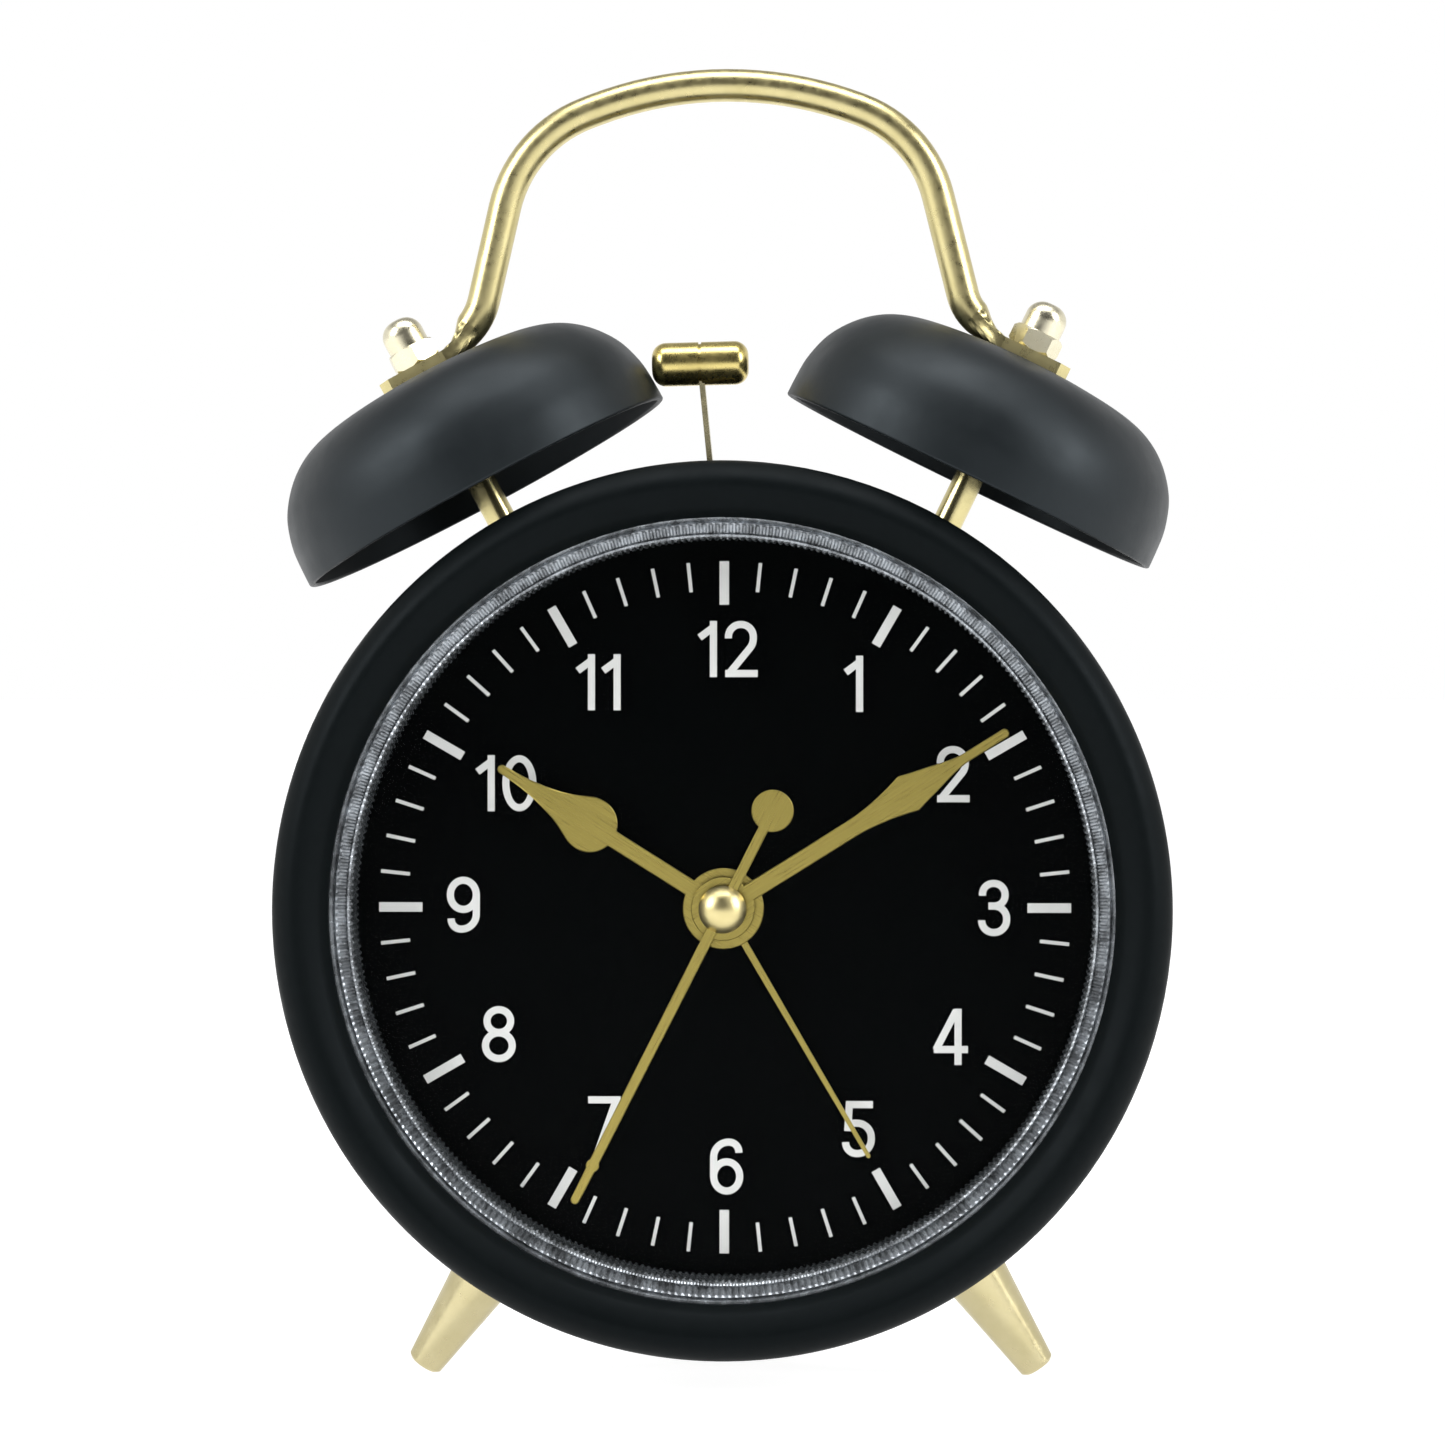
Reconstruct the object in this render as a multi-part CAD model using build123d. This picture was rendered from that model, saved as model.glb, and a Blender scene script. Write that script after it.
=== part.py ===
from build123d import *
import os
from math import atan2, cos, degrees, hypot, pi, radians, sin, tan

# Twin-bell quartz alarm clock.
# Frame: +X to the right and -Y towards the viewer of the dial, +Z up, millimetres.
# Origin on the table, under the middle of the bounding box.
# The clock axis is parallel to Y through (0, 0, AXIS_HEIGHT). Heights given to the
# helpers below are counted from that axis, and depths are plain Y values.

# ---------------------------------------------------------------- driving dimensions
AXIS_HEIGHT = 60.3
CASE_RADIUS = 54.6
CASE_WALL = 0.8
BEZEL_RADIUS = 56.2
FRONT_Y = -28.0
KNOB_END_Y = 28.0
DIAL_Y = -14.0
DIAL_THICKNESS = 0.8
BELL_Y = -2.0
RUN = 0.05

# Drum case and rear cover.
DRUM_FRONT_Y = -21.9
DRUM_REAR_Y = 21.5
LEDGE_Y = 18.3
LEDGE_RADIUS = 51.8
COVER_RADIUS = 53.7
COVER_FRONT_Y = 19.3
COVER_REAR_Y = 21.3
COVER_SCREW_RADIUS = 49.0
COVER_SCREW_ANGLES = (90, 200, 340)
HAMMER_SLOT_X = 9.0
HAMMER_SLOT_Y = 3.6

# Front stack: lip, lens, light ring.
LIP_RADIUS = 49.1
LENS_RADIUS = 50.9
LENS_FRONT_Y = -23.8
LENS_REAR_Y = -22.6
RING_INNER = 46.4
RING_WALL = 1.2
RING_FLANGE = 1.5

# Dial print.
PRINT_THICKNESS = 0.06
TICK_OUTER = 43.8
MINUTE_TICK = (3.7, 0.45)
HOUR_TICK = (5.5, 1.2)
DIGIT_HEIGHT = 7.1
STROKE = 0.9
DIGIT_GAP = 0.95
NUMERAL_CENTRES = {
    12: (0.5, 32.7), 1: (16.4, 28.3), 2: (28.9, 16.9), 3: (34.1, 0.0),
    4: (28.6, -16.3), 5: (17.0, -28.0), 6: (0.3, -32.8), 7: (-15.2, -27.5),
    8: (-28.6, -16.1), 9: (-33.1, 0.3), 10: (-27.6, 15.7), 11: (-15.9, 28.5),
}

# Hands: angles clockwise from twelve.
HAND_THICKNESS = 0.4
HAND_BEVEL = 0.1
ALARM_HAND_Y = -15.9
HOUR_HAND_Y = -17.3
MINUTE_HAND_Y = -18.7
SECOND_HAND_Y = -20.1
ALARM_ANGLE = 149.7
HOUR_ANGLE = 302.1
MINUTE_ANGLE = 58.0
SECOND_ANGLE = 206.9
CAP_RADIUS = 3.0
CAP_HEIGHT = 1.8

# Coaxial arbors, outside radii.
SECOND_ARBOR = 0.55
MINUTE_PIPE = 1.15
HOUR_PIPE = 1.80
ALARM_PIPE = 2.45
NECK_RADIUS = 3.6

# Movement housing.
MOVEMENT_HALF_X = 27.0
MOVEMENT_HALF_Z = 25.0
MOVEMENT_WALL = 1.2
PLATE = 0.9
MOVEMENT_SPLIT_Y = 0.0
MOVEMENT_REAR_Y = 3.0
GEAR_THICKNESS = 0.8
# Front faces of the gear levels, from the dial backwards.
LEVEL = {"alarm": -11.9, "hour": -10.4, "motion": -8.9, "minute": -7.4,
         "third": -5.9, "second": -4.4, "intermediate": -2.9}

# Bells: side, stud angle from twelve, tilt of the bell's axis, and height of the mouth
# above the case surface. Other heights run along the bell's own axis, from its mouth.
BELLS = {"left": (-1, 30.7, 28.2, 6.6), "right": (1, 30.1, 25.85, 7.7)}
BELL_HEIGHT = 17.1
BELL_WALL = 0.8
BELL_OUTLINE = ((25.74, 0.9), (25.68, 2.85), (25.54, 4.85), (25.1, 6.85), (24.39, 8.85),
                (23.18, 10.85), (21.42, 12.85), (18.6, 14.85), (15.6, 15.95), (9.6, 16.85))
CROWN_FLAT = 4.6
STEM_RADIUS = 1.9
STUD_RADIUS = 1.45
STUD_HOLE = 1.6
NUT_FLATS = 5.9
NUT_HEX_HEIGHT = 2.6
NUT_HEIGHT = 6.5
NUT_DOME_RADIUS = 2.7
NUT_TURN = {"left": 38.0, "right": 4.0}

# Handle: a round rod with flattened ends clamped under the acorn nuts.
ROD_RADIUS = 2.1
PLATE_THICKNESS = 1.6
PLATE_HALF_WIDTH = 3.5
PLATE_OUTER = 5.6
PLATE_INNER = 3.6
FLATTENING = 5.0
LEG = {"left": (-29.89, 84.43, 12.8), "right": (28.6, 84.38, 14.1)}
HANDLE_TOP = (-0.15, 108.44)
TOP_SLOPE = 20.7
HANDLE_RADII = (8.5, 16.9, 48.0, 16.0, 6.0)

# Hammer and its drive.
PIVOT_AT = (-1.25, 46.3)
HAMMER_REACH = 23.2
HAMMER_LEAN = 5.7
HAMMER_HEAD_TILT = -1.5
HAMMER_LENGTH = 12.4
HAMMER_RADIUS = 2.8
ARM_THICKNESS = 0.7
ARM_DEPTH = 2.4
ARM_TAIL = 13.0
MOTOR_Z = 34.0
MOTOR_RADIUS = 6.0
BRACKET_Y = 3.1

# Feet: x and height of the small end, and length along the axis up to the case.
FEET = {"left": (-38.9, -59.1, 16.1), "right": (39.8, -59.1, 16.6)}
FOOT_SPLAY = 33.6
FOOT_LEAN = 8.0
FOOT_Y = -7.5
FOOT_END_RADIUS = 2.27
FOOT_TAPER = 7.2
REST_HALF_X = 9.0
REST_Y = (14.5, 21.0)

# Battery compartment in the rear cover: two AA cells, one above the other.
CELL_RADIUS = 7.25
CELL_LENGTH = 50.5
CELL_Y = 11.65
CELL_HEIGHTS = (-18.5, -33.5)
TRAY_HALF_X = 28.0
TRAY_TOP = -10.8
TRAY_BOTTOM = -41.2
TRAY_WALL = 1.1
TRAY_FLOOR_Y = 3.2
DOOR_HALF_X = 26.5
DOOR_TOP = -11.6
DOOR_HINGE_Z = -39.6
DOOR_THICKNESS = 1.6
DOOR_GAP = 0.25
DOOR_PIN = (0.5, 1.2)

# Controls on the back.
KNOB_RADIUS = 5.6
KNOB_FRONT_Y = 21.9
SHAFT_END_Y = 25.0
KNOB_FLUTES = 18
SHAFT_RADIUS = 1.5
BOARD_Y = 12.4
BOARD_THICKNESS = 1.0
BUTTON_X = -22.0
SWITCH_X = 22.0
CONTROL_Z = 23.0
BUTTON_RADIUS = 3.6
SWITCH_TRAVEL = 3.0

os.makedirs("parts", exist_ok=True)
parts = {}


# ---------------------------------------------------------------- helpers
def face_plane(y):
    """Plane square to the clock axis: local x is X, local y is the height from the axis."""
    return Plane(origin=(0, y, AXIS_HEIGHT), x_dir=(1, 0, 0), z_dir=(0, -1, 0))


def slab(sketch, y0, y1):
    """Extrude a sketch drawn in (x, height) from depth y0 to depth y1."""
    return extrude(face_plane(y1) * sketch, amount=y1 - y0)


def disc(radius, y0, y1, x=0.0, z=0.0):
    return slab(Pos(x, z) * Circle(radius), y0, y1)


def tube(outer, inner, y0, y1, x=0.0, z=0.0):
    return disc(outer, y0, y1, x, z) - disc(inner, y0 - 1, y1 + 1, x, z)


def block(x0, x1, y0, y1, z0, z1):
    """Box between two depths, with heights counted from the clock axis."""
    centre = ((x0 + x1) / 2, (y0 + y1) / 2, (z0 + z1) / 2 + AXIS_HEIGHT)
    return Pos(*centre) * Box(x1 - x0, y1 - y0, z1 - z0)


def turned(points):
    """Solid of revolution about the clock axis from (radius, y) points."""
    outline = Pos(0, 0, AXIS_HEIGHT) * make_face(Polyline(*points, close=True))
    return revolve(outline, Axis((0, 0, AXIS_HEIGHT), (0, 1, 0)), 360)


def clockwise(angle, radius=1.0):
    """Point at a dial angle, clockwise from twelve, as (x, height)."""
    return (radius * sin(radians(angle)), radius * cos(radians(angle)))


def hexagon(flats):
    return RegularPolygon(radius=flats / 2, side_count=6, major_radius=False)


def one_solid(shape):
    """Largest solid of a boolean result."""
    return max(shape.solids(), key=lambda s: s.volume)


# ---------------------------------------------------------------- gears
def gear_face(teeth, module, phase):
    """Wheel outline with straight-sided teeth and running clearance, one tooth at phase degrees."""
    pitch = teeth * module / 2
    step = 360 / teeth
    flank = ((pitch - 1.25 * module, 0.22), (pitch, 0.19), (pitch + 0.85 * module, 0.07))
    points = []
    for n in range(teeth):
        centre = phase + n * step
        for radius, share in flank:
            points.append((radius, centre - share * step))
        for radius, share in reversed(flank):
            points.append((radius, centre + share * step))
    return make_face(Polyline(*[(r * cos(radians(a)), r * sin(radians(a))) for r, a in points],
                              close=True))


def gear(place, teeth, module, level, phase, bore=0.0):
    y0 = LEVEL[level]
    body = slab(Pos(*place) * gear_face(teeth, module, phase), y0, y0 + GEAR_THICKNESS)
    if bore:
        body -= disc(bore, y0 - 1, y0 + GEAR_THICKNESS + 1, *place)
    return body


def meshed(phase, driver, follower, direction):
    """Phase of a follower that meshes with a driver: tooth counts, and the way to the follower."""
    return direction + 180 - (phase - direction) * driver / follower + 180 / follower


def beside(place, distance, direction):
    return (place[0] + distance * cos(radians(direction)),
            place[1] + distance * sin(radians(direction)))


CENTRE = (0.0, 0.0)
M_SECOND = 0.36
M_MINUTE = 0.34
M_MOTION = 0.375
M_HOUR = 0.36
M_INTER = 0.36
M_ROTOR = 0.30
M_ALARM = 0.36
THIRD_WAY, MOTION_WAY, INTER_WAY, ROTOR_WAY, ALARM_WAY = 120.0, 0.0, 240.0, 200.0, 180.0
THIRD_AT = beside(CENTRE, M_SECOND * (8 + 60) / 2, THIRD_WAY)
MOTION_AT = beside(CENTRE, M_MOTION * (12 + 36) / 2, MOTION_WAY)
TIME_SET_AT = beside(MOTION_AT, M_MOTION * (36 + 18) / 2, MOTION_WAY)
INTER_AT = beside(CENTRE, M_INTER * (60 + 10) / 2, INTER_WAY)
ROTOR_AT = beside(INTER_AT, M_ROTOR * (60 + 12) / 2, ROTOR_WAY)
IDLER_AT = beside(CENTRE, M_ALARM * (36 + 24) / 2, ALARM_WAY)
ALARM_SET_AT = beside(IDLER_AT, M_ALARM * (24 + 12) / 2, ALARM_WAY)
BEARING = 0.5
POST = 0.8


def pipe(outer, inner, y0, y1):
    return tube(outer, inner, y0, y1)


def going_train():
    """Second, third, minute, motion and hour wheels, and the rotor's two stages."""
    pinion_y1 = LEVEL["third"] + GEAR_THICKNESS
    second = gear(CENTRE, 60, M_SECOND, "second", INTER_WAY)
    second += gear(CENTRE, 8, M_SECOND, "third", THIRD_WAY)
    second += disc(1.0, pinion_y1 - 0.1, LEVEL["second"] + 0.1)
    second += disc(SECOND_ARBOR, SECOND_HAND_Y, MOVEMENT_REAR_Y - 0.1)
    parts["second_wheel"] = second

    third = gear(THIRD_AT, 60, M_SECOND, "third", meshed(THIRD_WAY, 8, 60, THIRD_WAY))
    third += gear(THIRD_AT, 8, M_MINUTE, "minute", THIRD_WAY + 180)
    third += disc(0.9, LEVEL["minute"] + 0.7, LEVEL["third"] + 0.1, *THIRD_AT)
    third += disc(BEARING, -12.9, MOVEMENT_REAR_Y - 0.1, *THIRD_AT)
    parts["third_wheel"] = third

    bore = SECOND_ARBOR + RUN
    minute = gear(CENTRE, 64, M_MINUTE, "minute", meshed(THIRD_WAY + 180, 8, 64, THIRD_WAY + 180),
                  bore)
    minute += gear(CENTRE, 12, M_MOTION, "motion", MOTION_WAY, bore)
    minute += pipe(MINUTE_PIPE, bore, MINUTE_HAND_Y - 0.1, LEVEL["minute"] + 0.1)
    parts["minute_wheel"] = minute

    post_bore = POST + RUN
    motion_phase = meshed(MOTION_WAY, 12, 36, MOTION_WAY)
    motion = gear(MOTION_AT, 36, M_MOTION, "motion", motion_phase, post_bore)
    motion += gear(MOTION_AT, 10, M_HOUR, "hour", MOTION_WAY + 180, post_bore)
    motion += tube(1.3, post_bore, LEVEL["hour"] + 0.7, LEVEL["motion"] + 0.1, *MOTION_AT)
    parts["motion_wheel"] = motion

    hour_bore = MINUTE_PIPE + RUN
    hour = gear(CENTRE, 40, M_HOUR, "hour", meshed(MOTION_WAY + 180, 10, 40, MOTION_WAY + 180),
                hour_bore)
    hour += pipe(HOUR_PIPE, hour_bore, HOUR_HAND_Y - 0.1, LEVEL["hour"] + 0.1)
    parts["hour_wheel"] = hour

    intermediate = gear(INTER_AT, 60, M_ROTOR, "intermediate", ROTOR_WAY)
    intermediate += gear(INTER_AT, 10, M_INTER, "second", meshed(INTER_WAY, 60, 10, INTER_WAY))
    intermediate += disc(0.9, LEVEL["second"] + 0.7, LEVEL["intermediate"] + 0.1, *INTER_AT)
    intermediate += disc(BEARING, -12.9, MOVEMENT_REAR_Y - 0.1, *INTER_AT)
    parts["intermediate_wheel"] = intermediate

    rotor = gear(ROTOR_AT, 12, M_ROTOR, "intermediate", meshed(ROTOR_WAY, 60, 12, ROTOR_WAY))
    rotor += disc(2.0, -1.4, 0.6, *ROTOR_AT)
    rotor += disc(0.4, -12.9, MOVEMENT_REAR_Y - 0.1, *ROTOR_AT)
    parts["rotor"] = rotor
    return motion_phase


def alarm_train():
    """Alarm wheel on its pipe, the idler, and the setting shaft."""
    bore = HOUR_PIPE + RUN
    alarm = gear(CENTRE, 36, M_ALARM, "alarm", ALARM_WAY, bore)
    alarm += pipe(ALARM_PIPE, bore, ALARM_HAND_Y - 0.1, LEVEL["alarm"] + 0.1)
    parts["alarm_wheel"] = alarm
    idler_phase = meshed(ALARM_WAY, 36, 24, ALARM_WAY)
    parts["alarm_idler"] = gear(IDLER_AT, 24, M_ALARM, "alarm", idler_phase, POST + RUN)
    pinion = gear(ALARM_SET_AT, 12, M_ALARM, "alarm", meshed(idler_phase, 24, 12, ALARM_WAY))
    parts["alarm_set_shaft"] = pinion + setting_shaft(ALARM_SET_AT, LEVEL["alarm"])


def setting_shaft(place, y0):
    """Plain shaft from a gear level out through the rear cover, with a thin front bearing end."""
    shaft = disc(SHAFT_RADIUS, y0, SHAFT_END_Y, *place)
    return shaft + disc(POST, -12.9, y0 + 0.1, *place)


def knob(place):
    """Fluted knob pressed on a setting shaft."""
    outline = Circle(KNOB_RADIUS)
    for n in range(KNOB_FLUTES):
        x, z = clockwise(n * 360 / KNOB_FLUTES, KNOB_RADIUS + 0.25)
        outline -= Pos(x, z) * Circle(0.6)
    body = slab(Pos(*place) * outline, KNOB_FRONT_Y, KNOB_END_Y)
    rim = turned_at(place, [(KNOB_RADIUS + 1, KNOB_END_Y - 0.8), (KNOB_RADIUS + 1, KNOB_END_Y + 1),
                            (KNOB_RADIUS - 1.2, KNOB_END_Y + 1), (KNOB_RADIUS - 0.6, KNOB_END_Y)])
    dish = turned_at(place, [(0, KNOB_END_Y - 0.7), (2.8, KNOB_END_Y - 0.7), (3.6, KNOB_END_Y),
                             (3.6, KNOB_END_Y + 1), (0, KNOB_END_Y + 1)])
    socket = disc(SHAFT_RADIUS, KNOB_FRONT_Y - 1, SHAFT_END_Y, *place)
    return one_solid(body - rim - dish - socket)


def turned_at(place, points):
    """Solid of revolution about an axis parallel to the clock axis."""
    x, z = place
    return Pos(x, 0, z) * turned(points)


# ---------------------------------------------------------------- case, front and dial
def bell_seat(side):
    """Frame at the centre of a bell's mouth, local +Z along the bell's axis."""
    sign, stud_angle, tilt, mouth_height = BELLS[side]
    x, z = clockwise(sign * stud_angle, CASE_RADIUS)
    return Pos(x, BELL_Y, AXIS_HEIGHT + z) * Rot(0, sign * tilt, 0) * Pos(0, 0, mouth_height)


def upright(radius, z0, z1):
    """Cylinder along local +Z between two heights."""
    return Pos(0, 0, z0) * extrude(Circle(radius), amount=z1 - z0)


def foot_seat(side):
    """Frame at the small end of a foot, local +Z up its axis."""
    end_x, end_z, length = FEET[side]
    sign = 1 if end_x > 0 else -1
    base = Pos(end_x - sign * length * sin(radians(FOOT_SPLAY)), FOOT_Y,
               AXIS_HEIGHT + end_z + length * cos(radians(FOOT_SPLAY)))
    return base * Rot(FOOT_LEAN, 0, 0) * Rot(0, -sign * FOOT_SPLAY, 0) * Pos(0, 0, -length)


def drum_case():
    """Pressed drum with a ledge for the rear cover and holes for studs, feet and hammer."""
    inner = CASE_RADIUS - CASE_WALL
    drum = turned([(inner, DRUM_FRONT_Y), (CASE_RADIUS, DRUM_FRONT_Y),
                   (CASE_RADIUS, DRUM_REAR_Y - 0.7), (CASE_RADIUS - 0.3, DRUM_REAR_Y),
                   (inner, DRUM_REAR_Y), (inner, COVER_FRONT_Y), (LEDGE_RADIUS, COVER_FRONT_Y),
                   (LEDGE_RADIUS, LEDGE_Y), (inner, LEDGE_Y)])
    for angle in COVER_SCREW_ANGLES:
        x, z = clockwise(90 - angle, COVER_SCREW_RADIUS)
        ear = slab(Pos(x, z) * Circle(2.4), LEDGE_Y, COVER_FRONT_Y)
        lug_x, lug_z = clockwise(90 - angle, LEDGE_RADIUS)
        lug = slab(Pos((x + lug_x) / 2, (z + lug_z) / 2) * Rot(0, 0, angle) * Rectangle(4.4, 4.8),
                   LEDGE_Y, COVER_FRONT_Y)
        drum += ear + lug
        drum -= disc(0.8, LEDGE_Y - 1, COVER_FRONT_Y + 1, x, z)
    for side, (_, _, _, mouth_height) in BELLS.items():
        drum -= bell_seat(side) * upright(STUD_HOLE, -mouth_height - 4, -mouth_height + 4)
    for side, (_, _, length) in FEET.items():
        drum -= foot_seat(side) * upright(STUD_HOLE, length - 3, length + 4)
    drum -= block(-HAMMER_SLOT_X / 2, HAMMER_SLOT_X / 2, BELL_Y - HAMMER_SLOT_Y / 2,
                  BELL_Y + HAMMER_SLOT_Y / 2, CASE_RADIUS - 4, CASE_RADIUS + 4)
    return one_solid(drum)


def bezel():
    """Rolled bezel: crest in front, rounded outside, shallow slope inwards to the lens lip."""
    section = Polyline((LIP_RADIUS, -25.0), (LIP_RADIUS, -23.9), (51.0, -23.9), (51.0, -22.0),
                       (CASE_RADIUS + 0.05, -22.0), (CASE_RADIUS + 0.05, -16.5),
                       (BEZEL_RADIUS - 0.2, -16.5), (BEZEL_RADIUS, -24.2))
    roll = Spline((BEZEL_RADIUS, -24.2), (55.3, -26.6), (53.0, FRONT_Y), (51.0, -27.1),
                  (LIP_RADIUS, -25.0), tangents=((0, -1), (-0.6, 1)))
    outline = Pos(0, 0, AXIS_HEIGHT) * make_face(Curve() + section + roll)
    return revolve(outline, Axis((0, 0, AXIS_HEIGHT), (0, 1, 0)), 360)


def light_ring():
    """Clear ring: a flange behind the lens and a wall down to the dial."""
    outer = LENS_RADIUS - 0.1
    front = LENS_REAR_Y + 0.1
    return turned([(RING_INNER, front), (outer, front), (outer, front + RING_FLANGE),
                   (RING_INNER + RING_WALL, front + RING_FLANGE), (RING_INNER + RING_WALL, DIAL_Y),
                   (RING_INNER, DIAL_Y)])


def ticks():
    marks = Sketch()
    for n in range(60):
        length, width = MINUTE_TICK if n % 5 else HOUR_TICK
        x, z = clockwise(6 * n, TICK_OUTER - length / 2)
        marks += Pos(x, z) * Rot(0, 0, -6 * n) * Rectangle(width, length)
    return slab(marks, DIAL_Y - PRINT_THICKNESS, DIAL_Y)


def bowl(x, y, half_width, half_height):
    """Closed oval stroke about a centre line."""
    grow = STROKE / 2
    ring = Ellipse(half_width + grow, half_height + grow)
    return Pos(x, y) * (ring - Ellipse(half_width - grow, half_height - grow))


def bar(*points):
    return trace(Polyline(*points), STROKE)


def bend(*points, radius):
    return trace(FilletPolyline(*points, radius=radius), STROKE)


def digit(name):
    """One numeral in a box from (0, 0) up to DIGIT_HEIGHT; returns its sketch and width."""
    top = DIGIT_HEIGHT
    mid = STROKE / 2
    high = top - mid
    if name == "0":
        return bowl(2.17, top / 2, 1.72, high - top / 2), 4.35
    if name == "1":
        return bar((1.85, 0), (1.85, top)) + bar((1.85, 6.3), (0.1, 5.0)), 2.3
    if name == "2":
        hook = bend((0.5, 4.9), (0.5, high), (3.65, high), (3.65, 4.2), (0.55, 0.4),
                    radius=(1.55, 1.55, 1.9))
        return hook + bar((0.1, mid), (4.2, mid)), 4.2
    if name == "3":
        upper = bend((0.55, 5.1), (0.55, high), (3.4, high), (3.4, 3.8), (1.3, 3.8),
                     radius=(1.35, 1.4, 1.35))
        lower = bend((1.3, 3.8), (3.6, 3.8), (3.6, mid), (0.45, mid), (0.45, 2.0),
                     radius=(1.6, 1.6, 1.5))
        return upper + lower, 4.05
    if name == "4":
        return bar((3.15, 0), (3.15, top)) + bar((2.95, 6.9), (0.35, 1.9)) + \
            bar((0.1, 1.95), (4.4, 1.95)), 4.4
    if name == "5":
        flag = bar((3.9, high), (0.85, high)) + bar((0.95, top), (0.72, 3.3))
        hook = bend((0.72, 3.75), (0.9, 4.3), (3.7, 4.3), (3.7, mid), (0.5, mid), (0.45, 1.9),
                    radius=(0.4, 1.8, 1.8, 1.4))
        return flag + hook, 4.2
    if name == "6":
        back = bend((0.45, 2.2), (0.45, high), (3.6, high), (3.65, 5.3), radius=(1.9, 1.25))
        return bowl(2.1, 2.3, 1.65, 1.85) + back, 4.2
    if name == "7":
        return bar((0, high), (4.1, high)) + bar((3.65, 6.9), (1.2, 0)), 4.1
    if name == "8":
        return bowl(2.15, 5.2, 1.5, high - 5.2) + bowl(2.15, 2.08, 1.7, 2.08 - mid), 4.3
    six, width = digit("6")
    return Pos(width, top) * Rot(0, 0, 180) * six, width


def numerals():
    """The twelve hour numerals, upright, as thin print on the dial."""
    print_face = Sketch()
    for hour, (x, z) in NUMERAL_CENTRES.items():
        glyphs = [digit(name) for name in str(hour)]
        total = sum(width for _, width in glyphs) + DIGIT_GAP * (len(glyphs) - 1)
        left = x - total / 2
        for glyph, width in glyphs:
            print_face += Pos(left, z - DIGIT_HEIGHT / 2) * glyph
            left += width + DIGIT_GAP
    return slab(print_face, DIAL_Y - PRINT_THICKNESS, DIAL_Y)


# ---------------------------------------------------------------- hands
def hand(outline, y, angle, hub, pipe_radius, bevel=HAND_BEVEL):
    """Flat hand drawn pointing to twelve, turned to its angle, with its hub on a pipe."""
    face = outline + Circle(hub)
    body = one_solid(slab(Rot(0, 0, -angle) * face, y, y + HAND_THICKNESS))
    if bevel:
        body = chamfer(body.faces().sort_by(Axis.Y)[0].edges(), bevel)
    return one_solid(body - disc(pipe_radius, y - 1, y + 1))


def mirrored_outline(*edges):
    """Closed face from the right-hand edges of an outline that ends on the centre line."""
    right = Curve() + list(edges)
    left = mirror(right, about=Plane.YZ)
    return make_face(right + left)


def hour_hand():
    """Stalk, round spade and a concave taper to a narrow tip."""
    spade = 19.9
    spade_r = 3.5
    stalk = 1.05
    throat = spade - (spade_r ** 2 - stalk ** 2) ** 0.5
    leave = (spade_r * cos(radians(25)), spade + spade_r * sin(radians(25)))
    edges = (Line((0, 2), (stalk, 2)), Line((stalk, 2), (stalk, throat)),
             ThreePointArc((stalk, throat), (spade_r * cos(radians(20)),
                                             spade - spade_r * sin(radians(20))), leave),
             Spline(leave, (2.25, 23.3), (1.15, 27.0), (0.68, 30.2), (0.55, 33.0),
                    tangents=((-sin(radians(25)), cos(radians(25))), (-0.02, 1))),
             ThreePointArc((0.55, 33.0), (0.39, 33.39), (0, 33.55)))
    return hand(mirrored_outline(*edges), HOUR_HAND_Y, HOUR_ANGLE, 5.1, HOUR_PIPE)


def minute_hand():
    """Stalk that flares to a pointed lozenge, then a narrow tip."""
    edges = (Line((0, 2), (1.1, 2)), Line((1.1, 2), (1.1, 19.0)),
             Spline((1.1, 19.0), (1.6, 23.8), (2.5, 27.5), tangents=((0, 1), (0.3, 1))),
             Spline((2.5, 27.5), (1.35, 32.0), (0.6, 36.3), tangents=((-0.3, 1), (0, 1))),
             Line((0.6, 36.3), (0.6, 41.7)),
             ThreePointArc((0.6, 41.7), (0.42, 42.12), (0, 42.3)))
    return hand(mirrored_outline(*edges), MINUTE_HAND_Y, MINUTE_ANGLE, 4.0, MINUTE_PIPE)


def second_hand():
    """Long pointer with a small collar before its tip, and a round counterweight."""
    pointer = mirrored_outline(
        Line((0, -2), (0.7, -2)), Line((0.7, -2), (0.62, 35.6)),
        ThreePointArc((0.62, 35.6), (0.85, 36.15), (0.6, 36.7)),
        Line((0.6, 36.7), (0.55, 40.95)), ThreePointArc((0.55, 40.95), (0.39, 41.35), (0, 41.5)))
    tail = Pos(0, -8) * Rectangle(1.3, 13) + Pos(0, -13.9) * Circle(2.65)
    return hand(pointer + tail, SECOND_HAND_Y, SECOND_ANGLE, 2.9, SECOND_ARBOR)


def alarm_hand():
    needle = mirrored_outline(Line((0, 2), (0.45, 2)), Line((0.45, 2), (0.26, 36.2)),
                              ThreePointArc((0.26, 36.2), (0.18, 36.38), (0, 36.46)))
    return hand(needle, ALARM_HAND_Y, ALARM_ANGLE, 3.4, ALARM_PIPE, bevel=0)


def hand_cap():
    """Domed cap on the end of the second arbor."""
    ball_radius = (CAP_RADIUS ** 2 + CAP_HEIGHT ** 2) / (2 * CAP_HEIGHT)
    ball = Pos(0, SECOND_HAND_Y - CAP_HEIGHT + ball_radius, AXIS_HEIGHT) * Sphere(ball_radius)
    return one_solid(ball & disc(CAP_RADIUS, SECOND_HAND_Y - 5, SECOND_HAND_Y))


# ---------------------------------------------------------------- movement
def arbor_holes(body, y0, y1):
    """Bearing holes for every arbor that runs through a movement plate."""
    for place, radius in ((THIRD_AT, BEARING), (INTER_AT, BEARING), (ROTOR_AT, 0.4)):
        body -= disc(radius + RUN, y0, y1, *place)
    return body


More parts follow.
